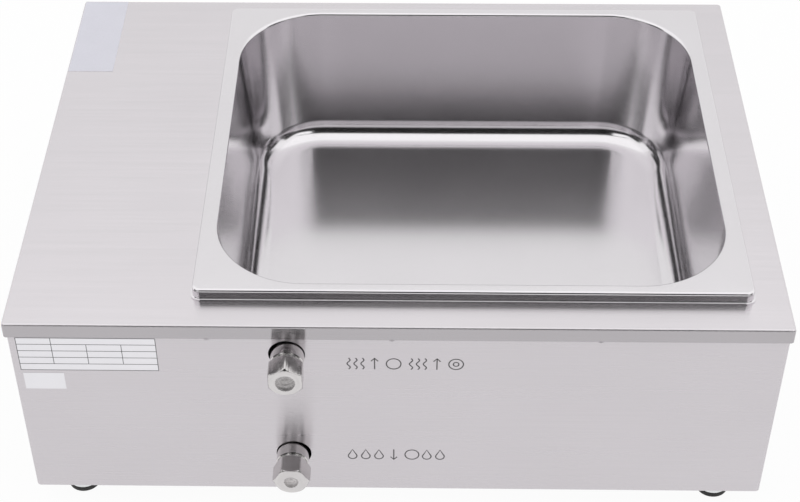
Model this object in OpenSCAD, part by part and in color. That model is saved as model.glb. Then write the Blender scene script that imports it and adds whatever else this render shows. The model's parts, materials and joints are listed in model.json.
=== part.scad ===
// Electric chocolate melting pot: a water bath in a stainless sheet housing that
// warms one lift-out pan. The shown long side carries an upper vent plug and a lower
// drain plug; the side away from it carries the thermostat, the switch and a lamp.
// Housing coordinates: X and Y are zero at the middle of the top cover, Z is zero
// where the rubber feet stand. seat() then moves all of it to the common origin.

/* [Housing] */
// Width of the top cover along X
body_w = 450; // [430:1:560]
// Depth of the top cover along Y
body_d = 330; // [320:1:420]
// Height from the bottom edge of the casing to the top surface
body_h = 140; // [130:1:190]
// Thickness of the housing sheet
sheet_t = 1; // [0.8:0.1:1.5]
// Height of the skirt folded down round the top cover
skirt_h = 10; // [8:0.5:20]
// Height of the feet under the base plate
foot_h = 15; // [12:0.5:30]

/* [Pan] */
// Width of the pan over its turned rim
pan_rim_w = 325; // [260:1:327]
// Depth of the pan over its turned rim, front to back
pan_rim_d = 292; // [240:1:300]
// Height of the pan from its floor to the top of the rim
pan_depth = 100; // [65:1:110]
// Inside corner radius of the pan's mouth
pan_corner_r = 53.5; // [40:0.5:60]
// Draft angle of the pan's walls
pan_draft = 5; // [2:0.5:7]
// Height of the rim above the top cover
pan_rim_h = 7.5; // [5:0.5:12]

/* [Water bath] */
// Water depth left under the pan
bath_depth = 25.5; // [22:0.5:34]
// Diameter of the tubular heating element
element_dia = 8; // [6:0.5:9]

/* [Valves] */
// Width across the flats of the hexagon plugs
plug_flats = 19.5; // [17:0.5:24]
// Length of a plug's head
plug_head = 14; // [10:0.5:18]
// Outer diameter of the round sockets
socket_dia = 19.4; // [17:0.1:24]
// Length of socket that stands out of the casing
socket_reach = 8.3; // [5:0.1:14]

/* [Controls] */
// Width of the thermostat's bezel
bezel_w = 77; // [74:1:92]
// Height of the thermostat's bezel
bezel_h = 35; // [32:1:42]
// Height of the rocker switch's frame
switch_h = 32; // [28:1:36]

/* [Hidden] */

$fn = 48;
// Overrun of a cutting shape past the face it cuts
over = 1;
// Gap between pieces that move past each other, and round pieces dropped into holes
run_gap = 0.3;
// Radial play of a pin or a threaded shank in its hole
pin_play = 0.08;
// Segments in a quarter of a lofted corner, and in a lofted bend
corner_steps = 8;
bend_steps = 4;

// Levels from the feet up
casing_z = foot_h + sheet_t;
top_z = casing_z + body_h;
rim_z = top_z + pan_rim_h;
pan_floor_z = rim_z - pan_depth;
bath_z = pan_floor_z - bath_depth;

// Housing sheet
bend_r = 1.5;
wrap_gap = 0.5;
casing_corner_r = 2.5;
flange_w = 11;
casing_w = body_w - 2 * (sheet_t + wrap_gap);
casing_d = body_d - 2 * (sheet_t + wrap_gap);
base_inset = 2;
vent_w = 3;
vent_l = 34;
vent_pitch = 8;
vent_count = 7;
vent_row_share = 0.3;
weld_r = 1.9;
// Places of the tack welds along the cover, as shares of its width
weld_shares = [-0.2418, -0.0062, 0.2571];

// Screws
m3_r = 1.5;
m3_head_r = 2.8;
m3_head_h = 1.8;
m5_r = 2.5;
m5_head_r = 4.2;
m5_head_h = 2.6;
hole_play = 0.3;
nut_share = 1.85;
nut_height_share = 0.8;
base_screw_l = 6;
base_screw_edge = 7;
base_screw_shares = [-0.3, 0, 0.3];

// Feet
foot_r = 10;
foot_inset_x = 27;
foot_inset_y = 20;
pad_h = 4.5;
pad_edge = 0.8;
cup_wall = 1.2;
cup_flare = 0.6;
foot_screw_l = 17;
foot_x = body_w / 2 - foot_inset_x;
foot_y = body_d / 2 - foot_inset_y;

// Pan
pan_t = 0.8;
pan_margin = 19.5;
pan_y = 1.6;
rim_side_w = 11.25;
rim_end_w = 8.75;
rim_corner_r = 5;
rim_bend_r = 1.8;
mouth_bend_r = 2;
pan_floor_r = 14;
lip_w = 1.2;
lip_bend_r = 0.6;
pan_x = body_w / 2 - pan_margin - pan_rim_w / 2;
mouth_w = pan_rim_w - 2 * rim_side_w;
mouth_d = pan_rim_d - 2 * rim_end_w;

// Tank
tank_gap = 3;
tank_corner_r = 20;
tank_floor_r = 6;
tank_flange_w = 4;
tank_w = mouth_w + 2 * (pan_t + tank_gap);
tank_d = mouth_d + 2 * (pan_t + tank_gap);
tank_left = pan_x - tank_w / 2;
tank_rear = pan_y - tank_d / 2;

// Heating element: four straight legs and three bends
element_r = element_dia / 2;
element_lift = 16.2;
leg_pitch_share = 0.177;
leg_pitch = round(tank_d * leg_pitch_share);
element_z = bath_z + element_lift;
element_end_gap = 30;
element_turn_gap = 12;
cold_end = 22;
stud_r = 1.8;
stud_l = 9;
bushing_r = 7;
bushing_collar_r = 10;
bushing_collar_t = 3;
bushing_l = 16;
gasket_t = 2;
element_nut_t = 5;
element_nut_flats = 19;
support_w = 12;
support_t = 1.5;
support_foot = 12;
support_shares = [0.3, 0.78];
leg_x1 = tank_left + tank_w - element_end_gap - leg_pitch / 2;
leg_x0 = tank_left + element_turn_gap + leg_pitch / 2;
leg_ys = [for (i = [0:3]) pan_y + (i - 1.5) * leg_pitch];

// Probe and over-temperature cut-out on the bay side of the tank
probe_r = 3;
probe_in = 46;
probe_out = 26;
gland_r = 5;
gland_flats = 14;
gland_head = 6;
gland_nut = 4;
probe_side = leg_pitch * 2 / 3;
cutout_r = 8;
cutout_h = 7;
cutout_flange_r = 9.5;
cutout_flange_t = 1.5;
cutout_tab = [6.3, 0.8, 8];
cutout_tab_pitch = 8;
cutout_rise = 34;
strap_w = 10;
strap_t = 1;
strap_l = 38;
strap_stud_r = 1.5;
strap_stud_l = 7;
strap_nut_t = 2.4;

// Sockets, seals and plugs
valve_inset = 49;
exhaust_drop = 23.4;
drain_rise = 9.8;
socket_r = socket_dia / 2;
bore_r = 6.6;
socket_edge = 0.5;
hole_room = 0.9;
hole_drift = 0.5;
seal_step = 1.1;
seal_r = socket_r - seal_step;
seal_t = 1.2;
shank_l = 9.5;
shank_edge = 1;
neck_step = 0.2;
plug_neck_r = seal_r - neck_step;
back_slope_l = 2;
face_slope_l = 1.6;
face_r = 9.4;
dome_h = 0.5;
vent_mark_r = 5.5;
drain_mark_r = 4.1;
mark_depth = 1.6;
mark_lift = 0.6;
exhaust_turn = 30;
drain_turn = 0;
valve_x = tank_left + valve_inset;
exhaust_z = top_z - exhaust_drop;
drain_z = bath_z + drain_rise;
socket_l = tank_rear + casing_d / 2 - sheet_t + socket_reach;
valve_reach = socket_reach + seal_t + plug_head;

// Electrical bay, left of the tank
bay_x = (tank_left - sheet_t - casing_w / 2) / 2;
floor_z = casing_z + sheet_t;

// Thermostat, in its own panel coordinates
thermostat_rise_share = 0.7;
bezel_t = 4;
bezel_r = 3;
bezel_lap = 3.25;
case_w = bezel_w - 2 * bezel_lap;
case_h = bezel_h - 2 * bezel_lap;
case_l = 60;
case_wall = 1.5;
cut_play = 0.25;
window_w = 42;
window_h = 20;
window_t = 1.4;
window_ledge = 1.2;
window_u = -13;
key_w = 8;
key_h = 6.5;
key_r = 1.4;
key_u = 17.4;
key_pitch_u = 11;
key_pitch_v = 10;
key_stand = 0.9;
key_travel = 0.5;
key_flange = 0.8;
key_flange_t = 1;
key_stem_r = 1.5;
board_t = 1.6;
board_depth = 7.5;
board_play = 0.25;
display_w = 38;
display_h = 15;
tact_w = 5;
tact_h = 3.2;
clip_t = 1.6;
clip_w = 4;
clip_h = 16;
clip_l = 18;
clip_foot = 3;
board_n = -board_depth;
tact_n = board_n + board_t + tact_h;
thermostat_z = casing_z + thermostat_rise_share * body_h;

// Rocker switch
switch_rise_share = 0.32;
switch_w = 25;
switch_frame_t = 2;
switch_case_w = 21.6;
switch_case_l = 24;
rocker_side = 2.9;
rocker_w = switch_w - 2 * rocker_side;
rocker_end = 2.3;
rocker_r = switch_h / 2 - rocker_end;
rocker_pivot_n = -4;
rocker_top_n = 1.2;
rocker_tilt = 9;
rocker_under = 2;
pivot_r = 1.2;
pivot_l = 1;
tab_w = 6.3;
tab_t = 0.8;
tab_l = 9;
tab_pitch = 9;
switch_side = 20;
switch_x = bay_x - switch_side;
switch_z = casing_z + switch_rise_share * body_h;

// Heating lamp
lamp_r = 5;
lamp_bezel_r = 7;
lamp_bezel_t = 2;
lamp_lens_r = 4.2;
lamp_reach = 6.5;
lamp_l = 20;
lamp_nut_t = 3;
lamp_nut_flats = 14;
lamp_x = bay_x + switch_side;

// Mains inlet in the end wall
inlet_y_share = -0.28;
inlet_rise = 36;
inlet_w = 50;
inlet_h = 23;
inlet_flange_t = 3;
inlet_case_w = 27.6;
inlet_case_h = 19.6;
inlet_case_l = 15;
inlet_mouth_w = 24.2;
inlet_mouth_h = 16.4;
inlet_mouth_cut = 4;
inlet_mouth_l = 15;
inlet_pin = [2, 4];
inlet_pin_l = 11;
inlet_pin_pitch = 7;
inlet_earth_rise = 2;
inlet_line_drop = 2;
inlet_screw_pitch = 40;
inlet_screw_l = 9;
inlet_screw_slope = 1.5;
inlet_y = inlet_y_share * body_d;
inlet_z = casing_z + inlet_rise;

// Terminal block, relay and earth stud on the base plate
block_w = 38;
block_d = 22;
block_h = 17;
block_way_r = 2.6;
block_way_pitch = 11;
block_screw_r = 2;
block_screw_h = 1.5;
block_y_share = -0.3;
relay_w = 45;
relay_d = 58;
relay_h = 22;
relay_step = 7;
relay_foot_t = 5;
relay_ear = 9;
plate_margin = 10;
plate_t = 4;
plate_fin_t = 2;
plate_fin_h = 12;
relay_y_share = 0.06;
relay_post_r = 3;
relay_post_h = 1.2;
earth_side = 38;
earth_l = 18;
earth_nut_t = 3.2;
earth_washer_r = 5;
earth_washer_t = 1;
block_y = block_y_share * body_d;
relay_y = relay_y_share * body_d;

// Shift from housing coordinates to the middle of the whole machine's base
shift_x = (casing_w / 2 + inlet_flange_t - body_w / 2) / 2;
shift_y = (valve_reach - lamp_reach) / 2;

// Helpers
module seat() translate([shift_x, shift_y, 0]) children();

// Panel coordinates: x to the right and y up as seen from outside, z out of the sheet
module on_rear(x, z) translate([x, -casing_d / 2, z]) rotate([90, 0, 0]) children();
module on_front(x, z) translate([x, casing_d / 2, z]) rotate([90, 0, 180]) children();
module on_left(y, z) translate([-casing_w / 2, y, z]) rotate([90, 0, 270]) children();
module on_tank_left(y, z) translate([tank_left - sheet_t, y, z]) rotate([90, 0, 270]) children();

module rounded_rect(w, d, r) {
    square([w - 2 * r, d], center = true);
    square([w, d - 2 * r], center = true);
    for (sx = [-1, 1], sy = [-1, 1]) translate([sx * (w / 2 - r), sy * (d / 2 - r)]) circle(r);
}

module rounded_bar(w, d, h, r) linear_extrude(h) rounded_rect(w, d, r);

module slot(l, w, h) linear_extrude(h) {
    square([l - w, w], center = true);
    for (s = [-1, 1]) translate([s * (l - w) / 2, 0]) circle(w / 2);
}

module centred_box(w, d, h) linear_extrude(h) square([w, d], center = true);

// A hexagon bar of the given width across its flats, turned so that a flat is up at 0
module hex_bar(flats, h, turn = 0) rotate(turn) cylinder(h = h, r = flats / sqrt(3), $fn = 6);

module ring(r_out, r_in, h) {
    difference() {
        cylinder(h = h, r = r_out);
        translate([0, 0, -over]) cylinder(h = h + 2 * over, r = r_in);
    }
}

module hex_nut(flats, r_in, h) {
    difference() {
        hex_bar(flats, h);
        translate([0, 0, -over]) cylinder(h = h + 2 * over, r = r_in);
    }
}

// A standard nut for a screw of radius r
module screw_nut(r) hex_nut(r * 2 * nut_share, r + pin_play, r * 2 * nut_height_share);

// Cuts a round hole through a sheet that lies from z = 0 up
module sheet_hole(r) translate([0, 0, -over]) cylinder(h = sheet_t + 2 * over, r = r);

// Pan-head screw: head above z = 0, shank below
module pan_screw(r, head_r, head_h, l) {
    edge = head_h / 3;
    rotate_extrude() polygon([[0, -l], [r - edge, -l], [r, edge - l], [r, 0], [head_r, 0],
        [head_r, head_h - edge], [head_r - edge, head_h], [0, head_h]]);
}

module at_feet() for (sx = [-1, 1], sy = [-1, 1]) translate([sx * foot_x, sy * foot_y, 0]) children();

module at_base_screws() {
    for (share = base_screw_shares, sy = [-1, 1])
        translate([share * body_w, sy * (casing_d / 2 - base_screw_edge), 0]) children();
    for (sx = [-1, 1]) translate([sx * (casing_w / 2 - base_screw_edge), 0, 0]) children();
}

// Lofting: a section is [width, depth, corner radius, height]
function corner_arc(cx, cy, r, a0) = [for (i = [0:corner_steps]) let (a = a0 + 90 * i / corner_steps)
    [cx + r * cos(a), cy + r * sin(a)]];
function section_ring(s) = let (x = s[0] / 2 - s[2], y = s[1] / 2 - s[2])
    [for (p = concat(corner_arc(x, y, s[2], 0), corner_arc(-x, y, s[2], 90),
        corner_arc(-x, -y, s[2], 180), corner_arc(x, -y, s[2], 270))) [p[0], p[1], s[3]]];

// Closed skin through the sections, capped at the first and the last
module loft(sections) {
    m = 4 * (corner_steps + 1);
    last = len(sections) - 1;
    points = [for (s = sections) each section_ring(s)];
    sides = [for (k = [0:last - 1], i = [0:m - 1]) let (a = k * m + i, b = k * m + (i + 1) % m)
        each [[a, b, b + m], [a, b + m, a + m]]];
    caps = [[for (i = [0:m - 1]) m - 1 - i], [for (i = [0:m - 1]) last * m + i]];
    polyhedron(points = points, faces = concat(sides, caps));
}

// Sections along a bend: e is the outset from the size [w, d, r], z the height
function bend(w, d, r, e0, z0, rad, a0, a1) = [for (i = [0:bend_steps])
    let (a = a0 + (a1 - a0) * i / bend_steps, e = e0 + rad * cos(a))
    [w + 2 * e, d + 2 * e, r + e, z0 + rad * sin(a)]];

// Housing
module cover_block(w, d, h, r) {
    intersection() {
        rotate([90, 0, 90]) linear_extrude(w, center = true) bend_profile(d, h, r);
        rotate([90, 0, 0]) linear_extrude(d, center = true) bend_profile(w, h, r);
    }
}

module bend_profile(w, h, r) {
    translate([-w / 2, 0]) square([w, h - r]);
    translate([r - w / 2, 0]) square([w - 2 * r, h]);
    for (s = [-1, 1]) translate([s * (w / 2 - r), h - r]) circle(r);
}

module top_cover() color("gainsboro") seat() {
    difference() {
        translate([0, 0, top_z - skirt_h]) cover_block(body_w, body_d, skirt_h, bend_r);
        translate([0, 0, top_z - skirt_h - over]) cover_block(body_w - 2 * sheet_t, body_d - 2 * sheet_t,
            skirt_h - sheet_t + over, bend_r - sheet_t);
        translate([pan_x, pan_y, top_z - sheet_t - over])
            rounded_bar(tank_w, tank_d, sheet_t + 2 * over, tank_corner_r);
    }
}

module valve_hole(z, drift) on_rear(valve_x + drift, z + hole_drift / 2)
    translate([0, 0, -sheet_t - over]) cylinder(h = sheet_t + 2 * over, r = socket_r + hole_room);

module casing() color("silver") seat() {
    wall_h = body_h - sheet_t;
    inner_r = casing_corner_r - sheet_t;
    inner_w = casing_w - 2 * sheet_t;
    inner_d = casing_d - 2 * sheet_t;
    difference() {
        translate([0, 0, casing_z]) rounded_bar(casing_w, casing_d, wall_h, casing_corner_r);
        translate([0, 0, casing_z + sheet_t]) rounded_bar(inner_w, inner_d, wall_h - 2 * sheet_t, inner_r);
        translate([0, 0, casing_z - over])
            rounded_bar(inner_w - 2 * flange_w, inner_d - 2 * flange_w, wall_h + 2 * over, inner_r);
        valve_hole(exhaust_z, hole_drift);
        valve_hole(drain_z, -hole_drift);
        on_front(bay_x, thermostat_z) translate([0, 0, -sheet_t - over])
            centred_box(case_w + 2 * cut_play, case_h + 2 * cut_play, sheet_t + 2 * over);
        on_front(switch_x, switch_z) translate([0, 0, -sheet_t - over])
            centred_box(switch_case_w + 2 * cut_play, switch_h - 2 * sheet_t, sheet_t + 2 * over);
        on_front(lamp_x, switch_z) translate([0, 0, -sheet_t - over])
            cylinder(h = sheet_t + 2 * over, r = lamp_r + cut_play);
        on_left(inlet_y, inlet_z) translate([0, 0, -sheet_t - over]) {
            centred_box(inlet_case_w + 2 * cut_play, inlet_case_h + 2 * cut_play, sheet_t + 2 * over);
            for (s = [-1, 1]) translate([s * inlet_screw_pitch / 2, 0, 0])
                cylinder(h = sheet_t + 2 * over, r = m3_r + hole_play);
        }
        at_base_screws() translate([0, 0, casing_z]) sheet_hole(m3_r + hole_play);
    }
}

module base_plate() color("darkgray") seat() {
    difference() {
        translate([0, 0, foot_h])
            rounded_bar(casing_w - 2 * base_inset, casing_d - 2 * base_inset, sheet_t, casing_corner_r);
        translate([0, 0, foot_h]) {
            at_base_screws() sheet_hole(m3_r + hole_play);
            at_feet() sheet_hole(m5_r + hole_play);
            for (s = [-1, 1], i = [0:vent_count - 1]) translate([bay_x + s * vent_l * 2 / 3,
                vent_row_share * body_d + (i - (vent_count - 1) / 2) * vent_pitch, -over])
                slot(vent_l, vent_w, sheet_t + 2 * over);
            translate([bay_x + earth_side, block_y, 0]) sheet_hole(m5_r + hole_play);
        }
    }
}

// Tack welds join the lower edge of the skirt to the casing
module tack_welds() color("lightgray") seat() {
    for (share = weld_shares, s = [-1, 1])
        translate([share * body_w, s * casing_d / 2, top_z - skirt_h]) intersection() {
            sphere(weld_r);
            rotate(s > 0 ? 0 : 180) translate([-weld_r, 0, -weld_r]) cube([2 * weld_r, weld_r, weld_r]);
        }
}

module base_screws() color("silver") seat() at_base_screws()
    translate([0, 0, foot_h]) rotate([180, 0, 0]) pan_screw(m3_r, m3_head_r, m3_head_h, base_screw_l);

// Feet
module foot_cups() color("lightgray") seat() at_feet() rotate_extrude() difference() {
    polygon([[m5_r + hole_play, pad_h], [foot_r, pad_h], [foot_r - cup_flare, foot_h],
        [m5_r + hole_play, foot_h]]);
    translate([0, pad_h - over]) square([foot_r - cup_wall, over + m5_head_h + run_gap]);
}

module foot_pads() color("black") seat() at_feet() rotate_extrude() difference() {
    union() {
        polygon([[m5_head_r + 2 * run_gap, 0], [foot_r - pad_edge, 0], [foot_r, pad_edge], [foot_r, pad_h],
            [m5_head_r + 2 * run_gap, pad_h]]);
        translate([m5_head_r + 2 * run_gap, 0])
            square([foot_r - cup_wall - m5_head_r - 3 * run_gap, pad_h + m5_head_h]);
    }
}

module foot_screws() color("silver") seat() at_feet() {
    translate([0, 0, pad_h + m5_head_h + run_gap]) rotate([180, 0, 0])
        pan_screw(m5_r, m5_head_r, m5_head_h, foot_screw_l);
    translate([0, 0, foot_h + sheet_t]) screw_nut(m5_r);
}

// Water bath
module water_tank() color("silver") seat() {
    flange_z = top_z - sheet_t;
    floor_e = -tank_floor_r;
    floor_c = bath_z + tank_floor_r;
    outset = sheet_t + tank_flange_w;
    sections = concat(
        bend(tank_w, tank_d, tank_corner_r, floor_e, floor_c, tank_floor_r, -90, 0),
        [for (edge = [[0, 0], [outset, 0], [outset, sheet_t], [sheet_t, sheet_t]])
            [tank_w + 2 * edge[0], tank_d + 2 * edge[0], tank_corner_r + edge[0], flange_z - edge[1]]],
        bend(tank_w, tank_d, tank_corner_r, floor_e, floor_c, tank_floor_r + sheet_t, 0, -90));
    difference() {
        translate([pan_x, pan_y, 0]) loft(sections);
        for (z = [exhaust_z, drain_z]) translate([valve_x, tank_rear + over, z])
            rotate([90, 0, 0]) cylinder(h = sheet_t + 2 * over, r = bore_r);
        for (y = [leg_ys[0], leg_ys[3]]) on_tank_left(y, element_z)
            translate([0, 0, -sheet_t - over]) cylinder(h = sheet_t + 2 * over, r = bushing_r + hole_play);
        on_tank_left(leg_ys[3] + probe_side, element_z)
            translate([0, 0, -sheet_t - over]) cylinder(h = sheet_t + 2 * over, r = gland_r + hole_play);
    }
}

module food_pan() color("lightgray") seat() {
    tan_draft = tan(pan_draft);
    wall_z = pan_floor_z + pan_t + pan_floor_r * (1 - sin(pan_draft));
    floor_e = -(rim_z - wall_z) * tan_draft - pan_floor_r * cos(pan_draft);
    floor_c = pan_floor_z + pan_t + pan_floor_r;
    mouth_e = mouth_bend_r * cos(pan_draft) - mouth_bend_r * (1 - sin(pan_draft)) * tan_draft;
    mouth_z = rim_z - mouth_bend_r;
    side_w = pan_rim_w - 2 * lip_w;
    side_d = pan_rim_d - 2 * lip_w;
    lip_z = top_z + pan_t;
    top_skin = concat(
        bend(mouth_w, mouth_d, pan_corner_r, floor_e, floor_c, pan_floor_r, -90, -pan_draft),
        bend(mouth_w, mouth_d, pan_corner_r, mouth_e, mouth_z, mouth_bend_r, 180 - pan_draft, 90),
        bend(side_w, side_d, rim_corner_r, -rim_bend_r, rim_z - rim_bend_r, rim_bend_r, 90, 0),
        bend(side_w, side_d, rim_corner_r, lip_bend_r, lip_z + lip_bend_r, lip_bend_r, 180, 270));
    lip_edge = [
        [pan_rim_w, pan_rim_d, rim_corner_r + lip_w, lip_z],
        [pan_rim_w, pan_rim_d, rim_corner_r + lip_w, top_z]];
    under_skin = concat(
        bend(side_w, side_d, rim_corner_r, lip_bend_r, lip_z + lip_bend_r, lip_bend_r + pan_t, 270, 180),
        bend(side_w, side_d, rim_corner_r, -rim_bend_r, rim_z - rim_bend_r, rim_bend_r - pan_t, 0, 90),
        bend(mouth_w, mouth_d, pan_corner_r, mouth_e, mouth_z, mouth_bend_r - pan_t, 90, 180 - pan_draft),
        bend(mouth_w, mouth_d, pan_corner_r, floor_e, floor_c, pan_floor_r + pan_t, -pan_draft, -90));
    translate([pan_x, pan_y, 0]) loft(concat(top_skin, lip_edge, under_skin));
}

module element_bend(x, y, side) translate([x, y, element_z]) rotate(side > 0 ? -90 : 90)
    rotate_extrude(angle = 180) translate([leg_pitch / 2, 0]) circle(element_r);

module leg(x0, x1, y, r) translate([x0, y, element_z]) rotate([0, 90, 0]) cylinder(h = x1 - x0, r = r);

module heating_element() color("dimgray") seat() {
    cold_x = tank_left - sheet_t - cold_end;
    leg(cold_x, leg_x1, leg_ys[0], element_r);
    leg(leg_x0, leg_x1, leg_ys[1], element_r);
    leg(leg_x0, leg_x1, leg_ys[2], element_r);
    leg(cold_x, leg_x1, leg_ys[3], element_r);
    for (y = [leg_ys[0], leg_ys[3]]) leg(cold_x - stud_l, cold_x, y, stud_r);
    element_bend(leg_x1, (leg_ys[0] + leg_ys[1]) / 2, 1);
    element_bend(leg_x1, (leg_ys[2] + leg_ys[3]) / 2, 1);
    element_bend(leg_x0, (leg_ys[1] + leg_ys[2]) / 2, -1);
}

// Cradles spot welded to the tank floor, one slot for each leg
module element_supports() color("gray") seat() {
    saddle_h = element_lift + element_r / 2;
    span = 3 * leg_pitch + support_w;
    edge = support_w / 2;
    for (share = support_shares)
        translate([tank_left + share * tank_w - support_t / 2, pan_y - span / 2, bath_z]) {
            difference() {
                cube([support_t, span, saddle_h]);
                for (i = [0:3]) translate([-over, edge + i * leg_pitch, element_lift])
                    rotate([0, 90, 0]) cylinder(h = support_t + 2 * over, r = element_r + run_gap / 2);
                for (i = [0:2]) translate([-over, support_w + i * leg_pitch, edge])
                    cube([support_t + 2 * over, leg_pitch - support_w, saddle_h]);
            }
            cube([support_foot, span, support_t]);
        }
}

module at_bushings() for (y = [leg_ys[0], leg_ys[3]]) on_tank_left(y, element_z) children();

module element_bushings() color("goldenrod") seat() at_bushings() difference() {
    union() {
        translate([0, 0, -sheet_t - gasket_t]) cylinder(h = bushing_l, r = bushing_r);
        translate([0, 0, -sheet_t - gasket_t - bushing_collar_t])
            cylinder(h = bushing_collar_t, r = bushing_collar_r);
    }
    translate([0, 0, -sheet_t - gasket_t - bushing_collar_t - over])
        cylinder(h = bushing_l + bushing_collar_t + 2 * over, r = element_r + pin_play);
}

module element_gaskets() color("firebrick") seat() at_bushings()
    translate([0, 0, -sheet_t - gasket_t]) ring(bushing_collar_r, bushing_r + pin_play, gasket_t);

module element_nuts() color("goldenrod") seat() at_bushings()
    hex_nut(element_nut_flats, bushing_r + pin_play, element_nut_t);

// Temperature probe and its gland
module temperature_probe() color("lightgray") seat() on_tank_left(leg_ys[3] + probe_side, element_z) {
    translate([0, 0, -sheet_t - probe_in]) cylinder(h = probe_in + sheet_t + probe_out, r = probe_r);
    translate([0, 0, -sheet_t - probe_in]) sphere(probe_r);
}

module probe_gland() color("goldenrod") seat() on_tank_left(leg_ys[3] + probe_side, element_z) difference() {
    union() {
        hex_bar(gland_flats, gland_head);
        translate([0, 0, gland_head]) cylinder(h = gland_nut, r1 = gland_r + gland_head / 3, r2 = gland_r);
        translate([0, 0, -sheet_t - gland_nut]) cylinder(h = sheet_t + gland_nut, r = gland_r);
        translate([0, 0, -sheet_t - gland_nut]) hex_bar(gland_flats, gland_nut);
    }
    translate([0, 0, -sheet_t - gland_nut - over])
        cylinder(h = gland_head + sheet_t + 2 * gland_nut + 2 * over, r = probe_r + pin_play);
}

// Over-temperature cut-out, clamped against the tank by a strap
module overheat_cutout() color("black") seat() on_tank_left(pan_y, element_z + cutout_rise) {
    cylinder(h = cutout_flange_t, r = cutout_flange_r);
    cylinder(h = cutout_flange_t + strap_t + cutout_h, r = cutout_r);
    for (s = [-1, 1]) translate([s * cutout_tab_pitch / 2, 0, cutout_flange_t + strap_t + cutout_h])
        centred_box(cutout_tab[1], cutout_tab[0], cutout_tab[2]);
}

module cutout_bracket() color("silver") seat() on_tank_left(pan_y, element_z + cutout_rise) {
    half = strap_l / 2;
    foot = half - strap_w / 2;
    top = cutout_flange_t + strap_t;
    difference() {
        rotate([90, 0, 0]) linear_extrude(2 * cutout_flange_r, center = true)
            polygon([[-half, 0], [-foot, 0], [-foot, cutout_flange_t], [foot, cutout_flange_t], [foot, 0],
                [half, 0], [half, top], [-half, top]]);
        translate([0, 0, -over]) cylinder(h = top + 2 * over, r = cutout_r + pin_play);
        for (s = [-1, 1]) translate([s * (half + foot) / 2, 0, -over])
            cylinder(h = top + 2 * over, r = strap_stud_r + pin_play);
    }
}

module cutout_nuts() color("silver") seat() on_tank_left(pan_y, element_z + cutout_rise)
    for (s = [-1, 1]) translate([s * (strap_l - strap_w / 2) / 2, 0, 0]) {
        cylinder(h = strap_stud_l, r = strap_stud_r);
        translate([0, 0, cutout_flange_t + strap_t]) hex_bar(strap_stud_r * 2 * nut_share, strap_nut_t);
    }

// Sockets, seals and plugs
module socket(z) on_rear(valve_x, z) translate([0, 0, socket_reach - socket_l]) rotate_extrude()
    polygon([[bore_r, 0], [socket_r, 0], [socket_r, socket_l - socket_edge],
        [socket_r - socket_edge, socket_l], [bore_r, socket_l]]);

module seal(z) on_rear(valve_x, z) translate([0, 0, socket_reach]) ring(seal_r, bore_r, seal_t);

module plug(z, turn, mark_r) on_rear(valve_x, z) translate([0, 0, socket_reach + seal_t]) {
    vertex_r = plug_flats / sqrt(3);
    shank_r = bore_r - pin_play;
    shank_end = -seal_t - shank_l;
    difference() {
        union() {
            rotate_extrude() polygon([[0, shank_end], [shank_r - shank_edge, shank_end],
                [shank_r, shank_end + shank_edge], [shank_r, 0], [0, 0]]);
            intersection() {
                hex_bar(plug_flats, plug_head, turn);
                rotate_extrude() polygon([[0, 0], [plug_neck_r, 0], [vertex_r, back_slope_l],
                    [vertex_r, plug_head - face_slope_l - dome_h], [face_r, plug_head - dome_h],
                    [mark_r, plug_head], [0, plug_head]]);
            }
        }
        translate([0, 0, plug_head - mark_depth]) cylinder(h = mark_depth + over, r = mark_r);
    }
    translate([0, 0, plug_head - mark_depth]) cylinder(h = mark_lift, r1 = mark_r / 2, r2 = mark_r / 4);
}

module exhaust_socket() color("silver") seat() socket(exhaust_z);
module exhaust_seal() color("lightgray") seat() seal(exhaust_z);
module exhaust_plug() color("silver") seat() plug(exhaust_z, exhaust_turn, vent_mark_r);
module drain_socket() color("silver") seat() socket(drain_z);
module drain_seal() color("lightgray") seat() seal(drain_z);
module drain_plug() color("silver") seat() plug(drain_z, drain_turn, drain_mark_r);

// Thermostat
module at_thermostat() seat() on_front(bay_x, thermostat_z) children();

// Keys 0 and 1 are above, 2 and 3 below
module at_key(i)
    translate([key_u + (i % 2) * key_pitch_u, (1 / 2 - floor(i / 2)) * key_pitch_v, 0]) children();

module thermostat_case() color("darkslategray") at_thermostat() difference() {
    translate([0, 0, -case_l]) centred_box(case_w, case_h, case_l);
    translate([0, 0, case_wall - case_l])
        centred_box(case_w - 2 * case_wall, case_h - 2 * case_wall, case_l - case_wall + over);
}

module thermostat_bezel() color("black") at_thermostat() difference() {
    rounded_bar(bezel_w, bezel_h, bezel_t, bezel_r);
    translate([window_u, 0, -over])
        centred_box(window_w - 2 * window_ledge, window_h - 2 * window_ledge, bezel_t + 2 * over);
    translate([window_u, 0, bezel_t - window_t]) centred_box(window_w, window_h, window_t + over);
    for (i = [0:3]) at_key(i) translate([0, 0, -over])
        rounded_bar(key_w + 2 * run_gap, key_h + 2 * run_gap, bezel_t + 2 * over, key_r + run_gap);
}

module thermostat_board() color("darkgreen") at_thermostat() {
    inset = 2 * (case_wall + board_play);
    translate([0, 0, board_n]) centred_box(case_w - inset, case_h - inset, board_t);
    for (i = [0:3]) at_key(i) translate([0, 0, board_n + board_t]) centred_box(tact_w, tact_w, tact_h);
}

module display_module() color("maroon") at_thermostat() translate([window_u, 0, board_n + board_t])
    centred_box(display_w, display_h, bezel_t - window_t - board_n - board_t);

module display_window() color("darkred") at_thermostat() translate([window_u, 0, bezel_t - window_t])
    centred_box(window_w - pin_play, window_h - pin_play, window_t);

// Clips slid on to the case from behind, braced against the sheet
module thermostat_clips() color("orange") at_thermostat() for (turn = [0, 180])
    rotate(turn) translate([case_w / 2, clip_h / 2, -sheet_t]) rotate([90, 0, 0]) linear_extrude(clip_h)
        polygon([[0, -clip_l], [clip_t, -clip_l], [clip_t, -clip_foot], [clip_w, 0], [0, 0]]);

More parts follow.
